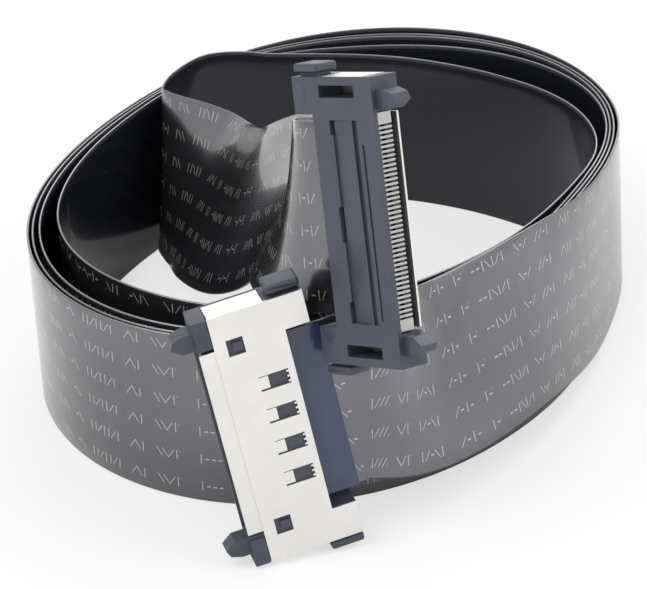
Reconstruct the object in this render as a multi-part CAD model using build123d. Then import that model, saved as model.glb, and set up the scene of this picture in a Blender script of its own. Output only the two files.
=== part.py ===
"""A coiled flat flex cable with a plug connector at each end.

The cable stands on its long edge. Its outer end carries one connector that stands on the floor
in front of the coil; its inner end makes a tight turn inside the coil, climbs over the front of
it and carries the second connector. Millimetres, +Z up, floor at Z = 0.
"""

import math
import os

from build123d import *

os.makedirs("parts", exist_ok=True)

# ---------------------------------------------------------------- driving sizes: the cable
RIBBON_WIDTH = 21.0  # across the conductors, so also the height of the standing coil
RIBBON_THICK = 0.30
COIL_RADIUS = 37.0  # mean radius of the outermost turn, to its mid-thickness
COIL_OVAL = 4.6  # the coil is this much longer than round along OVAL_ANGLE, and shorter across
OVAL_ANGLE = 57.0
COIL_LEAN = 9.5  # the inner turns lean in this much where the outer end leans on them
LEAN_ANGLE = -64.0
COIL_CENTRE = (1.6, 11.4)
STATION_STEP = 6.0  # degrees of coil between two stations of the cable

# How far each later turn lies inside the outermost one: (angle wound so far, inset).
# The turns are pressed together at the right and hang loose at the back and the front left.
TURN_INSETS = [
    (190, 0.0), (245, 0.1), (300, 1.0), (320, 1.0), (348, 1.4), (380, 0.6), (445, 1.8),
    (466, 1.0), (478, 0.6), (500, 0.45), (550, 0.6), (593, 0.6), (650, 1.35),
    (680, 1.5), (708, 1.9), (740, 1.1), (805, 2.5), (826, 1.6), (838, 1.0), (862, 1.0), (910, 1.4),
    (953, 1.9), (1010, 2.0),
    (1040, 1.9), (1068, 2.4), (1100, 1.6), (1165, 5.0), (1186, 2.6), (1198, 1.7), (1220, 1.7), (1270, 3.4),
    (1313, 7.2), (1370, 5.4),
    (1400, 3.6), (1428, 3.15), (1445, 2.8), (1463, 4.9), (1473, 6.7), (1485, 8.7), (1501, 9.5),
    (1512, 8.9),
]
OUTER_JOIN = 20.0  # coil angle at which the outer end settles upright on the floor
INNER_LEAVE = 1512.0  # coil angle at which the inner end leaves the coil

# Way of the two free ends between coil and connector: (x, y, height of mid-width, lean).
OUTER_WAY = [(12.2, -25.8, 14.1, 19.0), (23.6, -14.6, 13.8, 13.0), (33.7, 4.25, 10.8, 3.6)]
INNER_WAY = [
    (-7.4, 42.2, 12.0, 1.0), (-14.5, 38.5, 14.1, 3.0), (-19.3, 31.9, 13.4, 4.0),
    (-14.2, 18.0, 15.8, 31.0), (-10.0, 3.3, 20.9, 32.0), (-3.2, -12.1, 30.9, 33.0),
]

# ---------------------------------------------------------------- driving sizes: the plug
# Plug frame: +X is the mating direction with the mating face at X = 0, Y runs along the row of
# contacts, +Z points out of the plastic broad face. The cable lies in the plane Z = 0.
PLUG_LENGTH = 31.0
PLUG_THICK = 3.7
NECK_SPAN = 23.0  # clear span between the two ears, where the cable enters
NECK_DEPTH = 9.8  # mating face to the rear edge between the ears
EAR_DEPTH = 12.6  # mating face to the rear edge of an ear
CONTACT_COUNT = 41
CONTACT_PITCH = 0.5
CONTACT_WIDTH = 0.28
CONTACT_THICK = 0.2
PAD_WIDTH = 1.3  # the wide contact at each end of the row
SHELL_THICK = 0.25
FILM_THICK = 0.15  # stiffener film bonded to the end of the cable
FILM_SHOWS = 3.9  # how much of the film shows behind the neck
CABLE_START = 1.7  # mating face to the end of the cable inside the plug
STRAIGHT_STEP = 1.6  # the cable is straight for nine of these, inside and behind the plug
HOOK_REACH = 2.7  # latch nose ahead of the mating face
BUTTON_RISE = 1.35  # squeeze button beyond the end of the housing
BUTTON_FRONT = 8.8  # mating face to the front of the button
SEAT_GAP = 0.06  # between bonded or pressed pieces
SLOT_GAP = 0.12  # cable to the slot it lies in

# ---------------------------------------------------------------- driving sizes: where plugs sit
FRONT_YAW = 13.5  # plug on the floor: its mating side is turned this much towards the front
FRONT_LEAN = 5.0  # it leans back against the cable
FRONT_SPOT = (-12.2, -39.15)  # its mating face centre on the floor plan
TOP_SPOT = (8.3, -41.2, 42.5)  # mating face centre of the plug that rides over the coil
TOP_MATING = (0.644, -0.703, 0.302)  # its mating direction
TOP_ALONG = (-0.054, 0.353, 0.934)  # its contact row, upwards

HALF_T = PLUG_THICK / 2
HALF_L = PLUG_LENGTH / 2
HALF_NECK = NECK_SPAN / 2
ROW_HALF = (CONTACT_COUNT - 1) * CONTACT_PITCH / 2
PAD_PLACE = ROW_HALF + CONTACT_PITCH / 2 + PAD_WIDTH / 2 + 0.1
HOUSING_LOW = -HALF_T + SHELL_THICK + SEAT_GAP  # underside of the plastic, against the shell


def block(x0, x1, y0, y1, z0, z1):
    """A box given by its limits."""
    centre = Location(((x0 + x1) / 2, (y0 + y1) / 2, (z0 + z1) / 2))
    return centre * Box(x1 - x0, y1 - y0, z1 - z0)


def plate(points, z0, z1):
    """A flat outline in X and Y, filled from z0 to z1."""
    outline = make_face(Polyline(*points, close=True))
    return extrude(Pos(0, 0, z0) * outline, z1 - z0)


def ear_outline(front):
    """The plug seen on its broad face: a bar with an ear reaching back at each end."""
    return [
        (front, -HALF_L), (front, HALF_L), (-EAR_DEPTH, HALF_L), (-EAR_DEPTH, HALF_NECK),
        (-NECK_DEPTH, HALF_NECK), (-NECK_DEPTH, -HALF_NECK), (-EAR_DEPTH, -HALF_NECK),
        (-EAR_DEPTH, -HALF_L),
    ]


# ---------------------------------------------------------------- the plug's pieces
POST_DEPTH = 1.8  # plastic post at each front corner, where the shell stops short
WINDOW_DEPTH = 3.0  # mating window, front to the insulator behind the contacts
WINDOW_HALF = PAD_PLACE + PAD_WIDTH / 2 + 0.15
WINDOW_WALL = 0.55  # plastic between the window and the broad face
CONTACT_LOW, CONTACT_HIGH = -0.85, 1.05  # the bars that show in the window
CONTACT_FRONT = -0.35


def make_housing():
    """Black plastic body with its two latch noses and squeeze buttons, moulded in one."""
    body = plate(ear_outline(0.0), HOUSING_LOW, HALF_T)
    # mating window with a blade of plastic left standing behind the contacts
    body -= block(-WINDOW_DEPTH, 1, -WINDOW_HALF, WINDOW_HALF, -HALF_T - 1, HALF_T - WINDOW_WALL)
    blade_front = CONTACT_FRONT - CONTACT_THICK - SEAT_GAP
    body += block(-WINDOW_DEPTH - 0.5, blade_front, -WINDOW_HALF + 0.1, WINDOW_HALF - 0.1,
                  CONTACT_LOW, HALF_T - WINDOW_WALL + 0.1)
    # slot for the cable and its stiffener film, and the channel of the contact tails above it
    slot_half = RIBBON_WIDTH / 2 + 0.2
    slot_low = -RIBBON_THICK / 2 - FILM_THICK - SEAT_GAP - SLOT_GAP
    body -= block(-EAR_DEPTH - 1, -1.4, -slot_half, slot_half, slot_low,
                  RIBBON_THICK / 2 + SLOT_GAP)
    tail_top = RIBBON_THICK / 2 + SLOT_GAP + CONTACT_THICK + SEAT_GAP
    body -= block(-6.6, 0.0, -WINDOW_HALF + 0.05, WINDOW_HALF - 0.05, 0, tail_top)
    # recessed panel and long grooves of the broad face
    body -= block(-6.8, -3.9, -10.9, 10.9, HALF_T - 0.25, HALF_T + 1)
    body -= block(-3.6, -2.9, -10.9, 10.9, HALF_T - 0.35, HALF_T + 1)
    body -= block(-2.3, -2.0, -10.4, 8.4, HALF_T - 0.2, HALF_T + 1)
    for low, high in ((9.3, 10.9), (-2.2, 1.6), (-10.9, -8.6)):
        body -= block(-7.2, -6.7, low, high, HALF_T - 0.8, HALF_T + 1)
    for end in (1, -1):
        near, far = sorted((end * (HALF_L - 0.9), end * (HALF_L - 2.2)))
        body -= block(-8.4, -2.8, near, far, -HALF_T - 1, HALF_T + 1)  # slot through the ear
        # step on the end face that the shell's flange lies in
        near, far = sorted((end * (HALF_L - SHELL_THICK - SEAT_GAP), end * (HALF_L + 1)))
        body -= block(-8.3, -POST_DEPTH, near, far, -HALF_T - 1, HALF_T - 0.35)
        # front post, full thickness, and the latch nose ahead of it
        near, far = sorted((end * (HALF_NECK + 0.7), end * HALF_L))
        body += block(-POST_DEPTH + 0.1, 0.0, near, far, -HALF_T, HALF_T)
        nose = [
            (-0.2, end * 12.0), (HOOK_REACH * 0.55, end * 12.0), (HOOK_REACH, end * 12.9),
            (HOOK_REACH * 0.86, end * 13.7), (HOOK_REACH * 0.4, end * 14.1), (-0.2, end * 14.1),
        ]
        body += plate(nose, -1.15, 1.15)
        # squeeze button on a short neck
        near, far = sorted((end * (HALF_L - 0.4), end * (HALF_L + BUTTON_RISE / 2)))
        body += block(-12.0, -9.3, near, far, -0.9, 1.0)
        near, far = sorted((end * (HALF_L + 0.35), end * (HALF_L + BUTTON_RISE)))
        button = block(-EAR_DEPTH, -BUTTON_FRONT, near, far, -1.5, 1.5)
        body += fillet(button.edges(), 0.3)
        # small raised mark and a latching boss that shows through the shell
        body += block(-11.3, -10.6, end * 13.6 - 0.5, end * 13.6 + 0.5, HALF_T - 0.1, HALF_T + 0.05)
        body += block(-4.9, -3.8, end * 11.4 - 0.5, end * 11.4 + 0.5, -HALF_T + 0.02, HOUSING_LOW + 0.1)
    return body


SHELL_WINDOWS = (-6.06, -2.02, 2.02, 6.06)  # along Y


def make_shell():
    """Stamped plate over one broad face, with end flanges, windows and bent tabs."""
    low, high = -HALF_T, -HALF_T + SHELL_THICK
    back = ear_outline(-POST_DEPTH)
    shell = plate(back, low, high)
    shell += block(-POST_DEPTH - 0.1, -0.05, -HALF_NECK, HALF_NECK, low + 0.2, high + 0.2)
    shell += block(-POST_DEPTH - 0.25, -POST_DEPTH, -HALF_NECK, HALF_NECK, low, high + 0.2)
    for end in (1, -1):
        near, far = sorted((end * (HALF_L - SHELL_THICK), end * HALF_L))
        shell += block(-8.2, -POST_DEPTH - 0.1, near, far, low, HALF_T - 0.4)
        shell -= block(-5.1, -3.2, end * 11.4 - 1.0, end * 11.4 + 1.0, low - 1, high + 0.05)
    for place in SHELL_WINDOWS:
        shell -= block(-9.0, -5.6, place - 0.9, place + 0.9, low - 1, high + 0.05)
        shell += block(-6.7, -5.55, place - 0.75, place + 0.75, high - 0.12, high)
        for side in (-0.6, 0.0, 0.6):
            shell += block(-9.05, -8.75, place + side - 0.12, place + side + 0.12, low, high)
    return shell


def make_contact(width):
    """One contact: a bar across the window and a tail that lies on the cable."""
    bar = block(CONTACT_FRONT - CONTACT_THICK, CONTACT_FRONT, -width / 2, width / 2,
                CONTACT_LOW, CONTACT_HIGH)
    tail_low = RIBBON_THICK / 2 + SEAT_GAP
    tail = block(-6.4, CONTACT_FRONT - CONTACT_THICK / 2, -width / 2, width / 2,
                 tail_low, tail_low + CONTACT_THICK)
    return bar + tail


def make_film():
    """Stiffener film on the shell side of the cable's end."""
    top = -RIBBON_THICK / 2 - SEAT_GAP
    return block(-NECK_DEPTH - FILM_SHOWS, -1.6, -RIBBON_WIDTH / 2, RIBBON_WIDTH / 2,
                 top - FILM_THICK, top)


# ---------------------------------------------------------------- placing the plugs
def plug_plane(spot, mating, along):
    """The plane whose X is the mating direction and whose Y is nearly `along`."""
    mating = Vector(*mating).normalized()
    along = Vector(*along)
    along = (along - mating * mating.dot(along)).normalized()
    return Plane(origin=spot, x_dir=mating, z_dir=mating.cross(along))


def front_plug_plane():
    """The plug on the floor rests on its lower button and its lower front corner."""
    tilt = math.atan2(BUTTON_RISE, BUTTON_FRONT)
    yaw, lean = math.radians(FRONT_YAW), math.radians(FRONT_LEAN)
    level = Vector(-math.cos(yaw), -math.sin(yaw), 0)
    # the face turned to the front looks up by the lean
    face = Vector(math.sin(yaw) * math.cos(lean), -math.cos(yaw) * math.cos(lean), math.sin(lean))
    upward = level.cross(face)
    mating = level * math.cos(tilt) - upward * math.sin(tilt)
    along = upward * math.cos(tilt) + level * math.sin(tilt)
    depth_axis = mating.cross(along)
    corners = [
        mating * x + along * y + depth_axis * z
        for x, y, z in (
            (0, -HALF_L, HALF_T), (0, -HALF_L, -HALF_T), (-EAR_DEPTH, -HALF_L, -HALF_T),
            (-BUTTON_FRONT, -HALF_L - BUTTON_RISE, 1.5), (-BUTTON_FRONT, -HALF_L - BUTTON_RISE, -1.5),
            (HOOK_REACH, -12.9, 1.15), (HOOK_REACH, -12.9, -1.15),
        )
    ]
    height = -min(corner.Z for corner in corners)
    return plug_plane((FRONT_SPOT[0], FRONT_SPOT[1], height), tuple(mating), tuple(along))


# ---------------------------------------------------------------- the cable's way
def smooth_slopes(knots, values):
    """Slope at each knot, from its two neighbours weighted by how near they are."""
    slopes = []
    for i, knot in enumerate(knots):
        if i in (0, len(knots) - 1):
            a, b = (0, 1) if i == 0 else (-2, -1)
            slopes.append((values[b] - values[a]) / (knots[b] - knots[a]))
            continue
        before, after = knot - knots[i - 1], knots[i + 1] - knot
        back = (values[i] - values[i - 1]) / before
        ahead = (values[i + 1] - values[i]) / after
        slopes.append((back * after + ahead * before) / (before + after))
    return slopes


def smooth_value(knots, values, slopes, place):
    """Cubic curve through all knots, read at one place and held level beyond the ends."""
    place = min(max(place, knots[0]), knots[-1])
    i = max(k for k in range(len(knots) - 1) if knots[k] <= place)
    gap = knots[i + 1] - knots[i]
    t = (place - knots[i]) / gap
    return (
        (2 * t**3 - 3 * t**2 + 1) * values[i]
        + (t**3 - 2 * t**2 + t) * gap * slopes[i]
        + (3 * t**2 - 2 * t**3) * values[i + 1]
        + (t**3 - t**2) * gap * slopes[i + 1]
    )


INSET_KNOTS = [angle for angle, _ in TURN_INSETS]
INSET_VALUES = [value for _, value in TURN_INSETS]
INSET_SLOPES = smooth_slopes(INSET_KNOTS, INSET_VALUES)


def coil_station(angle):
    """Station of the cable on the oval coil, its lower edge on the floor."""
    turn = math.radians(angle)
    radius = COIL_RADIUS + COIL_OVAL * math.cos(2 * (turn - math.radians(OVAL_ANGLE)))
    radius -= smooth_value(INSET_KNOTS, INSET_VALUES, INSET_SLOPES, angle)
    x = COIL_CENTRE[0] + radius * math.cos(turn)
    y = COIL_CENTRE[1] + radius * math.sin(turn)
    lean = 0.0
    if angle > 180:
        lean = COIL_LEAN * max(0.0, math.cos(turn - math.radians(LEAN_ANGLE))) ** 2
    return (x, y, RIBBON_WIDTH / 2 * math.cos(math.radians(lean)), lean)


def lean_of(direction, along):
    """Lean, in degrees, of the width direction `along` about the travel direction."""
    up = Vector(0, 0, 1)
    up = (up - direction * direction.Z).normalized()
    side = up.cross(direction)
    return math.degrees(math.atan2(along.dot(side), along.dot(up)))


def straight_stations(plane, travel):
    """Stations of the straight stretch inside and just behind a plug, in order of travel."""
    along, outward = plane.y_dir, plane.x_dir * -1
    lean = lean_of(outward if travel > 0 else plane.x_dir, along)
    places = [CABLE_START + STRAIGHT_STEP * step for step in range(10)]
    if travel < 0:
        places.reverse()
    points = [plane.origin + outward * place for place in places]
    return [(point.X, point.Y, point.Z, lean) for point in points]


def densify(stations, longest):
    """Fill long gaps between stations with a smooth curve through them."""
    knots = [0.0]
    for a, b in zip(stations, stations[1:]):
        knots.append(knots[-1] + math.dist(a[:3], b[:3]))
    columns = [list(column) for column in zip(*stations)]
    slopes = [smooth_slopes(knots, column) for column in columns]
    dense = []
    for low, high in zip(knots, knots[1:]):
        pieces = max(1, math.ceil((high - low) / longest))
        for step in range(pieces):
            place = low + (high - low) * step / pieces
            dense.append(tuple(
                smooth_value(knots, column, slope, place)
                for column, slope in zip(columns, slopes)
            ))
    return dense + [stations[-1]]


def cable_stations(front, top):
    """All stations of the cable, from the plug on the floor to the plug over the coil."""
    stations = straight_stations(front, 1) + list(OUTER_WAY)
    angle = OUTER_JOIN
    while angle < INNER_LEAVE + 0.1:
        stations.append(coil_station(angle))
        angle += STATION_STEP
    return densify(stations + list(INNER_WAY) + straight_stations(top, -1), 4.5)


def make_cable(front, top):
    """The cable: a flat strip swept along its way, turning on edge, leaning and climbing."""
    stations = cable_stations(front, top)
    corners = [[], [], [], []]
    for i, (x, y, z, lean) in enumerate(stations):
        before, after = stations[max(i - 1, 0)], stations[min(i + 1, len(stations) - 1)]
        travel = Vector(*(b - a for a, b in zip(before[:3], after[:3]))).normalized()
        up = Vector(0, 0, 1)
        up = (up - travel * travel.Z).normalized()
        side = up.cross(travel)
        tilt = math.radians(lean)
        across = up * math.cos(tilt) + side * math.sin(tilt)
        normal = travel.cross(across)
        middle = Vector(x, y, z)
        for k, (w, t) in enumerate(((-1, -1), (1, -1), (1, 1), (-1, 1))):
            corners[k].append(middle + across * (w * RIBBON_WIDTH / 2) + normal * (t * RIBBON_THICK / 2))
    rails = [Spline(*points) for points in corners]
    sides = [Face.make_surface_from_curves(rails[k], rails[(k + 1) % 4]) for k in range(4)]
    caps = [
        make_face(Polyline(*[points[end] for points in corners], close=True)) for end in (0, -1)
    ]
    return Solid(Shell([*sides, *[cap.face() for cap in caps]]))


# ---------------------------------------------------------------- build and write
def placed(plane, shape):
    return plane.location * shape


def on_plug(plane):
    """All pieces of one plug, placed."""
    row = [
        Pos(0, (index - (CONTACT_COUNT - 1) / 2) * CONTACT_PITCH, 0) * make_contact(CONTACT_WIDTH)
        for index in range(CONTACT_COUNT)
    ]
    pads = [Pos(0, end * PAD_PLACE, 0) * make_contact(PAD_WIDTH) for end in (1, -1)]
    return {
        "housing": [placed(plane, make_housing())],
        "shell": [placed(plane, make_shell())],
        "contacts": [placed(plane, piece) for piece in row],
        "ground_contacts": [placed(plane, piece) for piece in pads],
        "stiffener": [placed(plane, make_film())],
    }


def main():
    front = front_plug_plane()
    top = plug_plane(TOP_SPOT, TOP_MATING, TOP_ALONG)
    nodes = {"flat_cable": [make_cable(front, top)]}
    for name, plane in (("front", front), ("top", top)):
        for piece, solids in on_plug(plane).items():
            nodes[f"{name}_{piece}"] = solids
    everything = Compound(children=[Compound(list_of_solids(solids)) for solids in nodes.values()])
    box = everything.bounding_box()
    shift = Pos(-(box.min.X + box.max.X) / 2, -(box.min.Y + box.max.Y) / 2, -box.min.Z)
    print("shift", shift.position)
    for name, solids in nodes.items():
        pieces = [shift * solid for solid in list_of_solids(solids)]
        shape = pieces[0] if len(pieces) == 1 else Compound(pieces)
        export_step(shape, f"parts/{name}.step")
        print(name, len(pieces))


def list_of_solids(shapes):
    """Every solid of a list of shapes."""
    return [solid for shape in shapes for solid in shape.solids()]


main()
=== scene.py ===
"""Finishes the coiled flat flex cable and its two plugs, and lights it on a pale studio floor.

Lengths are millimetres in the dataclasses and metres in the meshes. The cable's way repeats the
values of the part's own source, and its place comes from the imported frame.
"""

import logging
import math
from dataclasses import dataclass
from enum import Enum

import bmesh
import bpy
import numpy as np
from mathutils import Matrix, Vector

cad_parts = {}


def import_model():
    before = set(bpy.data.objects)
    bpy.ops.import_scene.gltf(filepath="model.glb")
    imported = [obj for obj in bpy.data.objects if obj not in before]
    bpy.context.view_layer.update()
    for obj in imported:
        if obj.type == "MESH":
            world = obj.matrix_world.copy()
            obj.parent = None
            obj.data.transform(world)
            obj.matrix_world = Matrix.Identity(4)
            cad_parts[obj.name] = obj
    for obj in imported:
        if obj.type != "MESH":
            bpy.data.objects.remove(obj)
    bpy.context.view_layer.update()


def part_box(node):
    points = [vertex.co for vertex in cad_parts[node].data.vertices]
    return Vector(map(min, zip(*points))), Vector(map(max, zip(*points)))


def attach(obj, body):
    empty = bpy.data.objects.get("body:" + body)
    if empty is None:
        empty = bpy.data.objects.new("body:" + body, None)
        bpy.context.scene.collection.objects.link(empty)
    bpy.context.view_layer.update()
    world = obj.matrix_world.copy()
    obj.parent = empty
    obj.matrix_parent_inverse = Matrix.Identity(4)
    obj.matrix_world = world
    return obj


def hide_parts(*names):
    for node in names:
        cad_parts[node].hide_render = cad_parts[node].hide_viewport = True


LOG = logging.getLogger("flat_cable")
MM = 0.001
Triple = tuple[float, float, float]
Colour = Triple
WHITE: Colour = (1.0, 1.0, 1.0)


# ------------------------------------------------------------------ shader maths
class Wire:
    """A node socket that does arithmetic: every operator adds one Math node."""

    def __init__(self, graph: "Graph", socket: bpy.types.NodeSocket) -> None:
        """Wraps one output socket of a graph."""
        self.graph, self.socket = graph, socket

    def __add__(self, other: "Wire | float") -> "Wire":
        """Sum."""
        return self.graph.math("ADD", self, other)

    def __sub__(self, other: "Wire | float") -> "Wire":
        """Difference."""
        return self.graph.math("SUBTRACT", self, other)

    def __rsub__(self, other: "Wire | float") -> "Wire":
        """Number minus wire."""
        return self.graph.math("SUBTRACT", other, self)

    def __mul__(self, other: "Wire | float") -> "Wire":
        """Product."""
        return self.graph.math("MULTIPLY", self, other)

    def __truediv__(self, other: "Wire | float") -> "Wire":
        """Quotient."""
        return self.graph.math("DIVIDE", self, other)

    def __mod__(self, other: "Wire | float") -> "Wire":
        """Remainder that is never negative."""
        return self.graph.math("FLOORED_MODULO", self, other)

    def __gt__(self, other: "Wire | float") -> "Wire":
        """One where the wire is greater, else zero."""
        return self.graph.math("GREATER_THAN", self, other)

    def __lt__(self, other: "Wire | float") -> "Wire":
        """One where the wire is less, else zero."""
        return self.graph.math("LESS_THAN", self, other)

    def __abs__(self) -> "Wire":
        """Size without sign."""
        return self.graph.math("ABSOLUTE", self)

    __radd__, __rmul__ = __add__, __mul__

    def floor(self) -> "Wire":
        """Whole part."""
        return self.graph.math("FLOOR", self)

    def fraction(self) -> "Wire":
        """Part after the point."""
        return self.graph.math("FRACT", self)

    def sine(self) -> "Wire":
        """Sine of an angle in radians."""
        return self.graph.math("SINE", self)

    def between(self, low: float, high: float) -> "Wire":
        """One where low < wire < high, else zero."""
        return (self > low) * (self < high)


class Graph:
    """A node tree, with one way to add every kind of node."""

    def __init__(self, tree: bpy.types.NodeTree) -> None:
        """Takes over a node tree and empties it."""
        self.tree = tree
        self.tree.nodes.clear()

    def put(self, target: bpy.types.NodeSocket, value: object) -> None:
        """Sets a socket to a number or colour, or links a wire to it.

        Args:
            target: the input socket.
            value: a number, a vector, a colour with or without its alpha, or a wire.
        """
        if isinstance(value, Wire):
            self.tree.links.new(value.socket, target)
        elif isinstance(value, tuple) and target.type == "RGBA" and len(value) == 3:
            target.default_value = (*value, 1.0)
        else:
            target.default_value = value

    def node(self, kind: str, settings: dict[str, object] | None = None,
             inputs: dict[int | str, object] | None = None) -> bpy.types.Node:
        """Adds one node.

        Args:
            kind: Blender's name of the node type.
            settings: the node's own settings, set first.
            inputs: numbers, colours or wires, by the socket's name or place.

        Returns:
            The node.
        """
        made = self.tree.nodes.new(kind)
        for name, value in (settings or {}).items():
            setattr(made, name, value)
        for name, value in (inputs or {}).items():
            self.put(made.inputs[name], value)
        return made

    def math(self, operation: str, a: "Wire | float", b: "Wire | float" = 0.0) -> Wire:
        """One Math node on numbers."""
        node = self.node("ShaderNodeMath", {"operation": operation}, {0: a, 1: b})
        return Wire(self, node.outputs[0])

    def mix(self, factor: "Wire | float", a: object, b: object) -> Wire:
        """Mixes two colours by a factor."""
        node = self.node("ShaderNodeMix", {"data_type": "RGBA"}, {0: factor, 6: a, 7: b})
        return Wire(self, node.outputs[2])

    def noise(self, scale: float, detail: float = 2.0, vector: Wire | None = None,
              stretch: Triple | None = None) -> Wire:
        """Noise from 0 to 1 on the object's own coordinates.

        Args:
            scale: how many cells fit in a metre.
            detail: finer layers of noise.
            vector: coordinates to read instead of the object's.
            stretch: how many times finer the noise is along each axis.

        Returns:
            The noise value.
        """
        if vector is None:
            vector = Wire(self, self.node("ShaderNodeTexCoord").outputs["Object"])
        if stretch is not None:
            mapping = self.node("ShaderNodeMapping", None, {"Vector": vector, "Scale": stretch})
            vector = Wire(self, mapping.outputs[0])
        node = self.node("ShaderNodeTexNoise", None,
                         {"Vector": vector, "Scale": scale, "Detail": detail})
        return Wire(self, node.outputs[0])

    def bump(self, height: Wire, distance: float, strength: float) -> Wire:
        """A bumped normal from a height, for a relief of `distance` metres."""
        node = self.node("ShaderNodeBump", None,
                         {"Strength": strength, "Distance": distance, "Height": height})
        return Wire(self, node.outputs[0])


class FinishGraph(Graph):
    """The node tree of a new material that ends in a principled shader."""

    def __init__(self, name: str) -> None:
        """Makes the material with its shader and output."""
        self.material = bpy.data.materials.new(name)
        self.material.use_nodes = True
        super().__init__(self.material.node_tree)
        self.shader = self.node("ShaderNodeBsdfPrincipled")
        self.surface = Wire(self, self.shader.outputs[0])
        self.output = self.node("ShaderNodeOutputMaterial", None, {"Surface": self.surface})

    def dress(self, **sockets: object) -> bpy.types.Material:
        """Sets sockets of the principled shader.

        Args:
            sockets: values or wires by the socket's name, with _ for each space.

        Returns:
            The finished material.
        """
        for name, value in sockets.items():
            self.put(self.shader.inputs[name.replace("_", " ")], value)
        return self.material


# ------------------------------------------------------------------ finishes
@dataclass(frozen=True)
class MouldedPlastic:
    """Satin moulded plastic with a fine grain and slightly paler rubbed patches."""

    name: str = "moulded_plastic"
    colour: Colour = (0.030, 0.036, 0.056)
    rubbed: Colour = (0.052, 0.060, 0.085)
    grain: float = 9000.0
    relief: float = 0.02
    roughness: float = 0.34

    def material(self) -> bpy.types.Material:
        """Builds the material.

        Returns:
            The material.
        """
        graph = FinishGraph(self.name)
        patches = graph.noise(260.0, 3.0)
        grain = graph.noise(self.grain, 2.0)
        return graph.dress(
            Base_Color=graph.mix(patches, self.colour, self.rubbed),
            Roughness=self.roughness + patches * 0.14,
            Normal=graph.bump(grain, self.relief * MM, 0.35),
            Specular_IOR_Level=0.55,
        )


@dataclass(frozen=True)
class TinPlate:
    """Bright satin plating, with faint rolling lines and cloudy wear."""

    name: str = "tin_plate"
    colour: Colour = (0.82, 0.805, 0.77)
    clouded: Colour = (0.70, 0.69, 0.665)
    line_stretch: Triple = (1.0, 1.0, 9.0)
    relief: float = 0.02
    roughness: float = 0.30

    def material(self) -> bpy.types.Material:
        """Builds the material.

        Returns:
            The material.
        """
        graph = FinishGraph(self.name)
        clouds = graph.noise(210.0, 4.0)
        lines = graph.noise(900.0, 2.0, stretch=self.line_stretch)
        return graph.dress(
            Base_Color=graph.mix(clouds, self.colour, self.clouded),
            Metallic=1.0,
            Roughness=self.roughness + clouds * 0.12 + lines * 0.08,
            Normal=graph.bump(lines, self.relief * MM, 0.25),
        )


@dataclass(frozen=True)
class ContactMetal:
    """Plated spring metal of the contacts, dulled a little in cloudy patches."""

    name: str = "contact_metal"
    colour: Colour = (0.60, 0.60, 0.56)
    dulled: Colour = (0.36, 0.36, 0.34)

    def material(self) -> bpy.types.Material:
        """Builds the material.

        Returns:
            The material.
        """
        graph = FinishGraph(self.name)
        clouds = graph.noise(700.0, 3.0)
        return graph.dress(
            Base_Color=graph.mix(clouds, self.colour, self.dulled),
            Metallic=1.0,
            Roughness=0.22 + clouds * 0.2,
        )


@dataclass(frozen=True)
class BlueFilm:
    """Dark blue stiffener film, glossy, with a trace of the adhesive's ripple."""

    name: str = "blue_film"
    colour: Colour = (0.018, 0.028, 0.085)
    worn: Colour = (0.034, 0.046, 0.115)
    relief: float = 0.05

    def material(self) -> bpy.types.Material:
        """Builds the material.

        Returns:
            The material.
        """
        graph = FinishGraph(self.name)
        ripple = graph.noise(420.0, 2.0)
        return graph.dress(
            Base_Color=graph.mix(ripple, self.colour, self.worn),
            Roughness=0.16 + ripple * 0.12,
            Normal=graph.bump(ripple, self.relief * MM, 0.3),
            Coat_Weight=0.4,
        )


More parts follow.
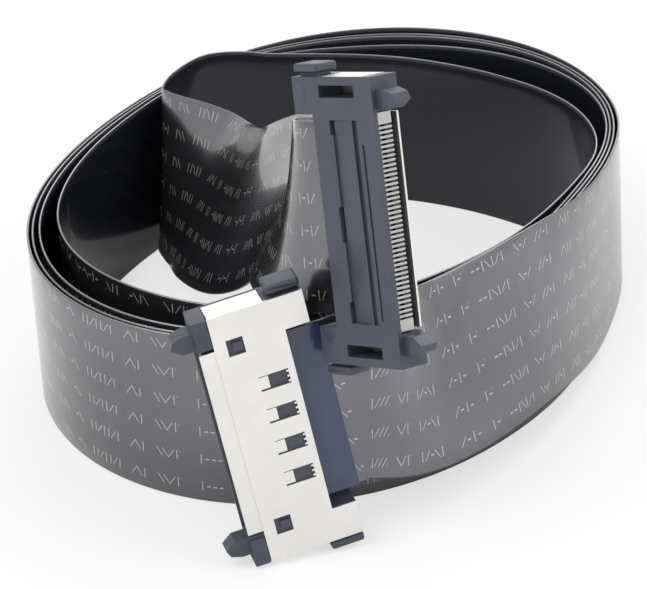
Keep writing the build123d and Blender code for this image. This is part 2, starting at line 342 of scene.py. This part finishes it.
@dataclass(frozen=True)
class Laminate:
    """Glossy black laminate. One face carries rows of small pale printed ticks.

    The piece's UV map gives the distance along the cable and the distance round its section,
    both in metres: printed face first, then an edge, the plain face and the other edge. Sizes
    are in millimetres. `words` are the stretches of each stanza that hold ticks, and
    `kind_limits` are the shares of ticks that stand upright, slope one way and slope the other.
    """

    width: float
    thick: float
    name: str = "black_laminate"
    printed_face: Colour = (0.085, 0.087, 0.095)
    # Paler tone mixed into the printed face in clouds: painted mottled reflection.
    printed_painted_reflection: Colour = (0.200, 0.203, 0.212)
    plain_face: Colour = (0.006, 0.007, 0.012)
    plain_hazed: Colour = (0.013, 0.015, 0.023)
    edge_colour: Colour = (0.05, 0.052, 0.060)
    ink: Colour = (0.62, 0.62, 0.63)
    row_pitch: float = 3.55
    row_margin: float = 0.8
    tick_height: float = 1.2
    tick_pitch: float = 0.74
    stroke: float = 0.085
    slope: float = 0.55
    flat_stroke: tuple[float, float] = (0.30, 0.16)
    kind_limits: Triple = (0.40, 0.62, 0.82)
    scatter: tuple[float, float] = (12.9898, 437.585)
    edge_share: float = 1.6
    streak_relief: float = 0.08
    stanza: float = 37.0
    words: tuple[tuple[float, float], ...] = (
        (0.0, 5.2), (6.6, 8.9), (10.3, 13.4), (15.5, 18.6), (20.0, 22.3), (23.7, 27.5),
        (29.5, 32.6), (34.0, 35.6),
    )

    def ticks(self, graph: Graph, along: Wire, across: Wire) -> Wire:
        """Mask of the printed ticks.

        Rows lie side by side at one pitch. Along a row the length is cut in equal cells; a cell
        inside a word holds one plain stroke, upright, sloping or lying. Which one it is comes
        from the fraction of a large multiple of a sine of the cell's number.

        Args:
            graph: the node tree; not used.
            along: distance along the cable in millimetres.
            across: distance from the edge of the printed face in millimetres.

        Returns:
            One on a tick, else zero.
        """
        height = (across / self.row_pitch).fraction() - 0.5
        half = self.tick_height / self.row_pitch / 2
        in_row = abs(height) < half
        on_face = across.between(self.row_margin, self.width - self.row_margin)
        phase = along % self.stanza
        in_word = sum(phase.between(low, high) for low, high in self.words)
        cell = along / self.tick_pitch
        number, place = cell.floor(), cell.fraction() - 0.5
        pick = ((number * self.scatter[0]).sine() * self.scatter[1]).fraction()
        first, second, third = self.kind_limits
        shear = height * (self.slope / half)
        upright = (abs(place) < self.stroke) * (pick < first)
        sloping = (abs(place + shear) < self.stroke) * pick.between(first, second)
        leaning = (abs(place - shear) < self.stroke) * pick.between(second, third)
        half_length, height_share = self.flat_stroke
        lying = (abs(height) < half * height_share) * (abs(place) < half_length) * (pick > third)
        strokes = upright + sloping + leaning + lying
        return strokes * in_row * on_face * in_word

    def material(self) -> bpy.types.Material:
        """Builds the material.

        Returns:
            The material.
        """
        graph = FinishGraph(self.name)
        uv = Wire(graph, graph.node("ShaderNodeUVMap", {"uv_map": "run"}).outputs[0])
        split = graph.node("ShaderNodeSeparateXYZ", None, {0: uv})
        along = Wire(graph, split.outputs[0]) * (1 / MM)
        across = Wire(graph, split.outputs[1]) * (1 / MM)
        edge_run = self.thick * self.edge_share
        edge = across.between(self.width, self.width + edge_run)
        edge = edge + (across > 2 * self.width + edge_run)
        clouds = graph.noise(26.0, 2.0, uv, (1.0, 1.6, 1.0))
        streaks = graph.noise(38.0, 1.0, uv, (0.5, 6.0, 1.0))
        printed = across < self.width
        ticks = self.ticks(graph, along, across) * (0.35 + clouds * 0.5)
        plain = graph.mix(clouds, self.plain_face, self.plain_hazed)
        # The printed face mixes toward its paler tone in clouds: painted mottled reflection.
        body = graph.mix(clouds, self.printed_face, self.printed_painted_reflection)
        body = graph.mix(ticks, graph.mix(printed, plain, body), self.ink)
        return graph.dress(
            Base_Color=graph.mix(edge, body, self.edge_colour),
            Metallic=printed * (1.0 - edge) * (1.0 - ticks) * 0.92,
            Roughness=0.17 + streaks * 0.12 + ticks * 0.2,
            Normal=graph.bump(streaks, self.streak_relief * MM, 0.25),
            Coat_Weight=0.35 + printed * 0.4,
            Coat_Roughness=0.05,
        )


@dataclass(frozen=True)
class StudioPaper:
    """Pale floor that shows near white to the eye and still takes the object's shadow."""

    name: str = "studio_paper"
    colour: Colour = (0.88, 0.88, 0.88)
    fibre: Colour = (0.84, 0.84, 0.84)
    glow: float = 0.62

    def material(self) -> bpy.types.Material:
        """Builds the material: diffuse paper, part of it white light where it is looked at.

        Returns:
            The material.
        """
        graph = FinishGraph(self.name)
        path = graph.node("ShaderNodeLightPath")
        seen = Wire(graph, path.outputs["Is Camera Ray"]) * self.glow
        white = graph.node("ShaderNodeEmission", None, {"Color": WHITE, "Strength": 1.0})
        both = graph.node("ShaderNodeMixShader", None,
                          {0: seen, 1: graph.surface, 2: Wire(graph, white.outputs[0])})
        graph.put(graph.output.inputs["Surface"], Wire(graph, both.outputs[0]))
        fibres = graph.noise(40.0, 3.0)
        return graph.dress(
            Base_Color=graph.mix(fibres * 0.15, self.colour, self.fibre),
            Roughness=0.9,
            Specular_IOR_Level=0.1,
        )


# ------------------------------------------------------------------ smooth curves
def smooth_slopes(knots: np.ndarray, values: np.ndarray) -> np.ndarray:
    """Slopes at knots: the slope of the parabola through each knot and its two neighbours.

    Args:
        knots: rising places, shape (n,).
        values: one row for each knot, shape (n, k).

    Returns:
        Slopes, shape (n, k).
    """
    steps = np.diff(knots)[:, None]
    rises = np.diff(values, axis=0) / steps
    inner = (rises[:-1] * steps[1:] + rises[1:] * steps[:-1]) / (steps[:-1] + steps[1:])
    return np.vstack([rises[:1], inner, rises[-1:]])


def smooth_curve(knots: np.ndarray, values: np.ndarray, places: np.ndarray) -> np.ndarray:
    """Cubic curve through all knots with the slopes above, held level beyond its ends.

    Args:
        knots: rising places, shape (n,).
        values: one row for each knot, shape (n, k).
        places: where to read the curve, shape (m,).

    Returns:
        The curve's values, shape (m, k).
    """
    slopes = smooth_slopes(knots, values)
    places = np.clip(places, knots[0], knots[-1])
    low = np.clip(np.searchsorted(knots, places, side="right") - 1, 0, len(knots) - 2)
    gap = (knots[low + 1] - knots[low])[:, None]
    t = (places[:, None] - knots[low][:, None]) / gap
    return (
        (2 * t**3 - 3 * t**2 + 1) * values[low]
        + (t**3 - 2 * t**2 + t) * gap * slopes[low]
        + (3 * t**2 - 2 * t**3) * values[low + 1]
        + (t**3 - t**2) * gap * slopes[low + 1]
    )


def run_length(points: np.ndarray) -> np.ndarray:
    """Distance run along a row of points, starting at zero."""
    return np.concatenate([[0.0], np.cumsum(np.linalg.norm(np.diff(points, axis=0), axis=1))])


def unit(vectors: np.ndarray) -> np.ndarray:
    """Vectors scaled to length one along the last axis."""
    return vectors / np.linalg.norm(vectors, axis=-1, keepdims=True)


def upright_axes(travel: np.ndarray) -> tuple[np.ndarray, np.ndarray]:
    """Upward direction square to the travel, and the sideways one, for each row."""
    up = unit(np.array([0.0, 0.0, 1.0]) - travel * travel[..., 2:3])
    return up, np.cross(up, travel)


# ------------------------------------------------------------------ plugs
class Corner(Enum):
    """How round the edges of a piece are, as the bevel's width in millimetres."""

    MOULDED = 0.10
    STAMPED = 0.05
    SPRING = 0.03
    FILM = 0.02


@dataclass
class PlugPlace:
    """Where one plug sits: mating face centre, mating direction and contact row, before the shift."""

    spot: np.ndarray
    mating: np.ndarray
    along: np.ndarray

    def straight(self, start: float, step: float, count: int, arriving: bool) -> np.ndarray:
        """Stations of the cable's straight stretch behind the plug: x, y, z and lean.

        Args:
            start: distance from the mating face to the cable's end.
            step: distance between stations.
            count: how many stations.
            arriving: True where the cable travels into the plug.

        Returns:
            Stations in order of travel, shape (count, 4).
        """
        places = start + step * np.arange(count)
        points = self.spot - self.mating * places[:, None]
        travel = self.mating if arriving else -self.mating
        up, side = upright_axes(travel)
        lean = math.degrees(math.atan2(self.along @ side, self.along @ up))
        stations = np.column_stack([points, np.full(count, lean)])
        return stations[::-1] if arriving else stations


@dataclass
class Plug:
    """One plug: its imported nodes, redrawn with rounded edges and real finishes."""

    name: str
    plastic: bpy.types.Material
    plate: bpy.types.Material
    metal: bpy.types.Material
    film: bpy.types.Material
    weld: float = 0.002
    flat_angle: float = 1.0
    sharp_angle: float = 35.0

    def rounded(self, node: str, corner: Corner, segments: int,
                material: bpy.types.Material) -> bpy.types.Object:
        """Stands in for a node with a merged copy of it whose edges are rounded.

        Args:
            node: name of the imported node.
            corner: how round its edges are.
            segments: faces across each rounded edge.
            material: its finish.

        Returns:
            The new piece.
        """
        source = bpy.data.objects[node]
        mesh = source.data.copy()
        mesh.name = f"{node}_rounded"
        shape = bmesh.new()
        shape.from_mesh(mesh)
        bmesh.ops.remove_doubles(shape, verts=shape.verts, dist=self.weld * MM)
        bmesh.ops.dissolve_limit(shape, angle_limit=math.radians(self.flat_angle),
                                 verts=shape.verts, edges=shape.edges)
        shape.to_mesh(mesh)
        shape.free()
        mesh.materials.clear()
        mesh.materials.append(material)
        mesh.shade_smooth()
        mesh.set_sharp_from_angle(angle=math.radians(self.sharp_angle))
        piece = bpy.data.objects.new(f"{node}_rounded", mesh)
        bpy.context.scene.collection.objects.link(piece)
        bevel = piece.modifiers.new("edges", "BEVEL")
        bevel.width = corner.value * MM
        bevel.segments = segments
        bevel.limit_method = "ANGLE"
        bevel.angle_limit = math.radians(self.sharp_angle)
        bevel.harden_normals = True
        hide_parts(node)
        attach(piece, "root")
        return piece

    def build(self) -> list[bpy.types.Object]:
        """Makes all pieces of the plug.

        Returns:
            The five pieces, housing first.
        """
        return [
            self.rounded(f"{self.name}_housing", Corner.MOULDED, 2, self.plastic),
            self.rounded(f"{self.name}_shell", Corner.STAMPED, 2, self.plate),
            self.rounded(f"{self.name}_contacts", Corner.SPRING, 1, self.metal),
            self.rounded(f"{self.name}_ground_contacts", Corner.SPRING, 1, self.metal),
            self.rounded(f"{self.name}_stiffener", Corner.FILM, 1, self.film),
        ]


# ------------------------------------------------------------------ the cable
@dataclass
class Ribbon:
    """The flat cable, coiled on its edge, one smooth strip from plug to plug.

    Angles are degrees wound from the start of the coil. `turn_insets` gives how far each later
    turn lies inside the outermost one, and the two ways give x, y, height and lean.
    """

    finish: bpy.types.Material
    width: float = 21.0
    thick: float = 0.30
    coil_radius: float = 37.0
    coil_oval: float = 4.6
    oval_angle: float = 57.0
    coil_lean: float = 9.5
    lean_angle: float = -64.0
    lean_starts: float = 180.0
    coil_centre: tuple[float, float] = (1.6, 11.4)
    station_step: float = 6.0
    outer_join: float = 20.0
    inner_leave: float = 1512.0
    longest_gap: float = 4.5
    grid_step: float = 1.1
    cable_start: float = 1.7
    straight_step: float = 1.6
    straight_count: int = 10
    face_points: int = 11
    edge_points: int = 4
    crease: float = 50.0
    turn_insets: tuple[tuple[float, float], ...] = (
        (190, 0.0), (245, 0.1), (300, 1.0), (320, 1.0), (348, 1.4), (380, 0.6), (445, 1.8),
        (466, 1.0), (478, 0.6), (500, 0.45), (550, 0.6), (593, 0.6), (650, 1.35),
        (680, 1.5), (708, 1.9), (740, 1.1), (805, 2.5), (826, 1.6), (838, 1.0), (862, 1.0),
        (910, 1.4), (953, 1.9), (1010, 2.0),
        (1040, 1.9), (1068, 2.4), (1100, 1.6), (1165, 5.0), (1186, 2.6), (1198, 1.7),
        (1220, 1.7), (1270, 3.4), (1313, 7.2), (1370, 5.4),
        (1400, 3.6), (1428, 3.15), (1445, 2.8), (1463, 4.9), (1473, 6.7), (1485, 8.7),
        (1501, 9.5), (1512, 8.9),
    )
    outer_way: tuple[tuple[float, float, float, float], ...] = (
        (12.2, -25.8, 14.1, 19.0), (23.6, -14.6, 13.8, 13.0), (33.7, 4.25, 10.8, 3.6),
    )
    inner_way: tuple[tuple[float, float, float, float], ...] = (
        (-7.4, 42.2, 12.0, 1.0), (-14.5, 38.5, 14.1, 3.0), (-19.3, 31.9, 13.4, 4.0),
        (-14.2, 18.0, 15.8, 31.0), (-10.0, 3.3, 20.9, 32.0), (-3.2, -12.1, 30.9, 33.0),
    )

    def coil(self, angles: np.ndarray) -> np.ndarray:
        """Stations on the coil: an oval whose radius shrinks by each turn's inset.

        Args:
            angles: degrees wound so far, shape (n,).

        Returns:
            x, y, z and lean, shape (n, 4). The lower edge of the strip is on the floor.
        """
        turn = np.radians(angles)
        table = np.array(self.turn_insets, float)
        inset = smooth_curve(table[:, 0], table[:, 1:], angles)[:, 0]
        radius = self.coil_radius - inset
        radius = radius + self.coil_oval * np.cos(2 * (turn - math.radians(self.oval_angle)))
        facing = np.maximum(0.0, np.cos(turn - math.radians(self.lean_angle))) ** 2
        lean = np.where(angles > self.lean_starts, self.coil_lean * facing, 0.0)
        return np.column_stack([
            self.coil_centre[0] + radius * np.cos(turn),
            self.coil_centre[1] + radius * np.sin(turn),
            self.width / 2 * np.cos(np.radians(lean)),
            lean,
        ])

    def stations(self, front: PlugPlace, top: PlugPlace) -> np.ndarray:
        """All stations, with long gaps filled from the smooth curve through them.

        Args:
            front: place of the plug on the floor.
            top: place of the plug over the coil.

        Returns:
            x, y, z and lean, shape (n, 4), from the front plug to the top one.
        """
        angles = np.arange(self.outer_join, self.inner_leave + 0.1, self.station_step)
        coarse = np.vstack([
            front.straight(self.cable_start, self.straight_step, self.straight_count, False),
            self.outer_way,
            self.coil(angles),
            self.inner_way,
            top.straight(self.cable_start, self.straight_step, self.straight_count, True),
        ])
        knots = run_length(coarse[:, :3])
        pieces = np.maximum(1, np.ceil(np.diff(knots) / self.longest_gap)).astype(int)
        starts = np.repeat(np.arange(len(pieces)), pieces)
        shares = np.arange(len(starts)) - np.repeat(np.cumsum(pieces) - pieces, pieces)
        places = knots[starts] + np.diff(knots)[starts] * shares / pieces[starts]
        return smooth_curve(knots, coarse, np.append(places, knots[-1]))

    def frames(self, stations: np.ndarray) -> tuple[np.ndarray, np.ndarray, np.ndarray, np.ndarray]:
        """Reads the strip's middle line and its two cross directions at even steps.

        The width direction is the upright one turned by the lean about the travel; the normal
        is square to travel and width.

        Args:
            stations: x, y, z and lean, shape (n, 4).

        Returns:
            Run length, middle points, width directions and normals.
        """
        middle = stations[:, :3]
        travel = np.empty_like(middle)
        travel[1:-1] = middle[2:] - middle[:-2]
        travel[0], travel[-1] = middle[1] - middle[0], middle[-1] - middle[-2]
        travel = unit(travel)
        up, side = upright_axes(travel)
        lean = np.radians(stations[:, 3:4])
        across = up * np.cos(lean) + side * np.sin(lean)
        knots = run_length(middle)
        count = int(knots[-1] / self.grid_step)
        run = np.linspace(0.0, knots[-1], count + 1)
        fine = smooth_curve(knots, np.hstack([middle, across, np.cross(travel, across)]), run)
        return run, fine[:, :3], unit(fine[:, 3:6]), unit(fine[:, 6:9])

    def section(self) -> tuple[np.ndarray, np.ndarray]:
        """Closed outline of the strip's section: two flat faces joined by round edges.

        Returns:
            Width and thickness places, shape (n, 2), and the distance run round the outline,
            shape (n + 1,), where the printed face comes first.
        """
        half_w, half_t = self.width / 2, self.thick / 2
        flat = np.linspace(-half_w + half_t, half_w - half_t, self.face_points)
        turn = np.linspace(math.pi / 2, -math.pi / 2, self.edge_points + 2)[1:-1]
        edge = np.column_stack([half_w - half_t + half_t * np.cos(turn), half_t * np.sin(turn)])
        printed = np.column_stack([flat, np.full(self.face_points, half_t)])
        plain = np.column_stack([flat[::-1], np.full(self.face_points, -half_t)])
        outline = np.vstack([printed, edge, plain, -edge])
        return outline, run_length(np.vstack([outline, outline[:1]]))

    def build(self, front: PlugPlace, top: PlugPlace) -> bpy.types.Object:
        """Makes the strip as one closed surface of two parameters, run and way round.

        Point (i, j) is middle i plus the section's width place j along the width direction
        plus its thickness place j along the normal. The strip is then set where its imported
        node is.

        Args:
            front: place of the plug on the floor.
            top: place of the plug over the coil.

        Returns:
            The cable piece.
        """
        run, middle, across, normal = self.frames(self.stations(front, top))
        outline, round_run = self.section()
        grid = (
            middle[:, None, :]
            + across[:, None, :] * outline[None, :, :1]
            + normal[:, None, :] * outline[None, :, 1:]
        ) * MM
        low, high = (np.array(corner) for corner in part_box("flat_cable"))
        flat = grid.reshape(-1, 3)
        flat += (low + high) / 2 - (flat.min(0) + flat.max(0)) / 2
        rows, columns = grid.shape[:2]
        i, j = np.meshgrid(np.arange(rows - 1), np.arange(columns), indexing="ij")
        after = (j + 1) % columns
        quads = np.stack([i * columns + j, i * columns + after,
                          (i + 1) * columns + after, (i + 1) * columns + j], -1).reshape(-1, 4)
        uv_u = np.stack([run[i], run[i], run[i + 1], run[i + 1]], -1)
        uv_v = np.stack([round_run[j], round_run[j + 1], round_run[j + 1], round_run[j]], -1)
        ends = [list(range(columns))[::-1], [(rows - 1) * columns + k for k in range(columns)]]
        mesh = bpy.data.meshes.new("cable_strip")
        mesh.from_pydata(flat, [], quads.tolist() + ends)
        uv = np.zeros((len(quads) * 4 + 2 * columns, 2), np.float32)
        uv[:len(quads) * 4] = np.stack([uv_u, uv_v], -1).reshape(-1, 2) * MM
        layer = mesh.uv_layers.new(name="run")
        layer.data.foreach_set("uv", uv.ravel())
        mesh.materials.append(self.finish)
        mesh.shade_smooth()
        mesh.set_sharp_from_angle(angle=math.radians(self.crease))
        piece = bpy.data.objects.new("cable_strip", mesh)
        bpy.context.scene.collection.objects.link(piece)
        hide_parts("flat_cable")
        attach(piece, "root")
        self.width * MM
        return piece


@dataclass
class FlatCable:
    """The whole object: the strip and the two plugs, with the places they share."""

    half_length: float = 15.5
    half_thick: float = 1.85
    ear_depth: float = 12.6
    button_rise: float = 1.35
    button_front: float = 8.8
    button_half: float = 1.5
    front_yaw: float = 13.5
    front_lean: float = 5.0
    front_spot: tuple[float, float] = (-12.2, -39.15)
    top_spot: Triple = (8.3, -41.2, 42.5)
    top_mating: Triple = (0.644, -0.703, 0.302)
    top_along: Triple = (-0.054, 0.353, 0.934)

    def front_place(self) -> PlugPlace:
        """The plug on the floor rests on its lower button and its lower front corner.

        Returns:
            Its place: the lowest of its corners and button corners is at height zero.
        """
        tilt = math.atan2(self.button_rise, self.button_front)
        yaw, lean = math.radians(self.front_yaw), math.radians(self.front_lean)
        level = np.array([-math.cos(yaw), -math.sin(yaw), 0.0])
        face = np.array([math.sin(yaw) * math.cos(lean), -math.cos(yaw) * math.cos(lean),
                         math.sin(lean)])
        upward = np.cross(level, face)
        mating = level * math.cos(tilt) - upward * math.sin(tilt)
        along = upward * math.cos(tilt) + level * math.sin(tilt)
        corners = np.array([
            (0.0, -self.half_length, self.half_thick),
            (0.0, -self.half_length, -self.half_thick),
            (-self.ear_depth, -self.half_length, -self.half_thick),
            (-self.button_front, -self.half_length - self.button_rise, self.button_half),
            (-self.button_front, -self.half_length - self.button_rise, -self.button_half),
        ])
        height = -(corners @ np.array([mating, along, np.cross(mating, along)]))[:, 2].min()
        return PlugPlace(np.array([*self.front_spot, height]), mating, along)

    def top_place(self) -> PlugPlace:
        """The plug that rides over the coil.

        Returns:
            Its place, with the contact row made square to the mating direction.
        """
        mating = unit(np.array(self.top_mating))
        along = np.array(self.top_along)
        along = unit(along - mating * (mating @ along))
        return PlugPlace(np.array(self.top_spot), mating, along)

    def build(self) -> list[bpy.types.Object]:
        """Makes every piece.

        Returns:
            The pieces of the front plug, those of the top plug, and the strip.
        """
        finishes = (MouldedPlastic().material(), TinPlate().material(),
                    ContactMetal().material(), BlueFilm().material())
        pieces = Plug("front", *finishes).build() + Plug("top", *finishes).build()
        laminate = Laminate(width=Ribbon.width, thick=Ribbon.thick)
        strip = Ribbon(laminate.material()).build(self.front_place(), self.top_place())
        return [*pieces, strip]


# ------------------------------------------------------------------ studio
@dataclass(frozen=True)
class Viewpoint:
    """Long-lens camera above the front. Millimetres, in the part's own layout before its shift."""

    shift: Triple = (-1.57258, -1.38299, 0.0398)
    aim_height: float = 10.5
    distance: float = 400.0
    elevation: float = 30.0
    roll: float = 3.433
    lens: float = 185.7
    sensor: float = 36.0
    clip_metres: tuple[float, float] = (0.01, 20.0)

    def build(self) -> bpy.types.Object:
        """Makes the camera and gives it to the scene.

        Returns:
            The camera.
        """
        lift, roll = math.radians(self.elevation), math.radians(self.roll)
        right = Vector((1.0, 0.0, 0.0))
        top = Vector((0.0, math.sin(lift), math.cos(lift)))
        back = Vector((0.0, -math.cos(lift), math.sin(lift)))
        across = right * math.cos(roll) - top * math.sin(roll)
        upward = right * math.sin(roll) + top * math.cos(roll)
        place = Vector(self.shift) + Vector((0.0, 0.0, self.aim_height)) + back * self.distance
        data = bpy.data.cameras.new("camera")
        data.lens, data.sensor_width = self.lens, self.sensor
        data.clip_start, data.clip_end = self.clip_metres
        camera = bpy.data.objects.new("camera", data)
        turn = Matrix((across, upward, back)).transposed()
        camera.matrix_world = Matrix.Translation(place * MM) @ turn.to_4x4()
        bpy.context.scene.collection.objects.link(camera)
        bpy.context.scene.camera = camera
        return camera


@dataclass(frozen=True)
class Softbox:
    """One soft square light, aimed at the object. Metres and watts."""

    name: str
    place: Triple
    size: tuple[float, float]
    power: float
    aim: Triple = (0.0, 0.0, 0.02)

    def build(self) -> bpy.types.Object:
        """Makes the light.

        Returns:
            The light, turned so that it faces its aim.
        """
        data = bpy.data.lights.new(self.name, "AREA")
        data.shape, data.size, data.size_y = "RECTANGLE", *self.size
        data.energy, data.color = self.power, WHITE
        light = bpy.data.objects.new(self.name, data)
        light.location = self.place
        away = Vector(self.place) - Vector(self.aim)
        light.rotation_euler = away.to_track_quat("Z", "Y").to_euler()
        bpy.context.scene.collection.objects.link(light)
        return light


@dataclass(frozen=True)
class Studio:
    """Pale floor, even surroundings and soft lights."""

    floor_size: float = 6.0
    surround: float = 0.7
    lights: tuple[Softbox, ...] = (
        Softbox("key", (-0.45, -0.35, 0.75), (0.6, 0.6), 3.6),
        Softbox("fill", (0.65, -0.25, 0.5), (0.5, 0.5), 1.8),
        Softbox("back", (0.2, 0.7, 0.6), (0.7, 0.4), 2.6),
    )

    def surroundings(self) -> None:
        """White to the eye, and an even grey to the object."""
        world = bpy.data.worlds.new("surroundings")
        bpy.context.scene.world = world
        world.use_nodes = True
        graph = Graph(world.node_tree)
        path = graph.node("ShaderNodeLightPath")
        shown = graph.math("MAXIMUM", Wire(graph, path.outputs["Is Camera Ray"]),
                           Wire(graph, path.outputs["Is Glossy Ray"]))
        plain, white = (
            graph.node("ShaderNodeBackground", None, {"Color": WHITE, "Strength": strength})
            for strength in (self.surround, 1.0)
        )
        both = graph.node("ShaderNodeMixShader", None, {
            0: shown, 1: Wire(graph, plain.outputs[0]), 2: Wire(graph, white.outputs[0]),
        })
        graph.node("ShaderNodeOutputWorld", None, {"Surface": Wire(graph, both.outputs[0])})

    def build(self) -> None:
        """Makes floor, surroundings and lights."""
        half = self.floor_size / 2
        mesh = bpy.data.meshes.new("floor")
        mesh.from_pydata([(-half, -half, 0), (half, -half, 0), (half, half, 0), (-half, half, 0)],
                         [], [(0, 1, 2, 3)])
        mesh.materials.append(StudioPaper().material())
        floor = bpy.data.objects.new("floor", mesh)
        bpy.context.scene.collection.objects.link(floor)
        self.surroundings()
        for light in self.lights:
            light.build()


def main() -> None:
    """Builds the object, the studio and the camera, and logs each piece's face count."""
    logging.basicConfig(level=logging.INFO, format="%(message)s")
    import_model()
    for piece in FlatCable().build():
        LOG.info("%s: %d faces", piece.name, len(piece.data.polygons))
    Studio().build()
    Viewpoint().build()
    bpy.context.scene.view_settings.view_transform = "Standard"


if __name__ == "__main__":
    main()
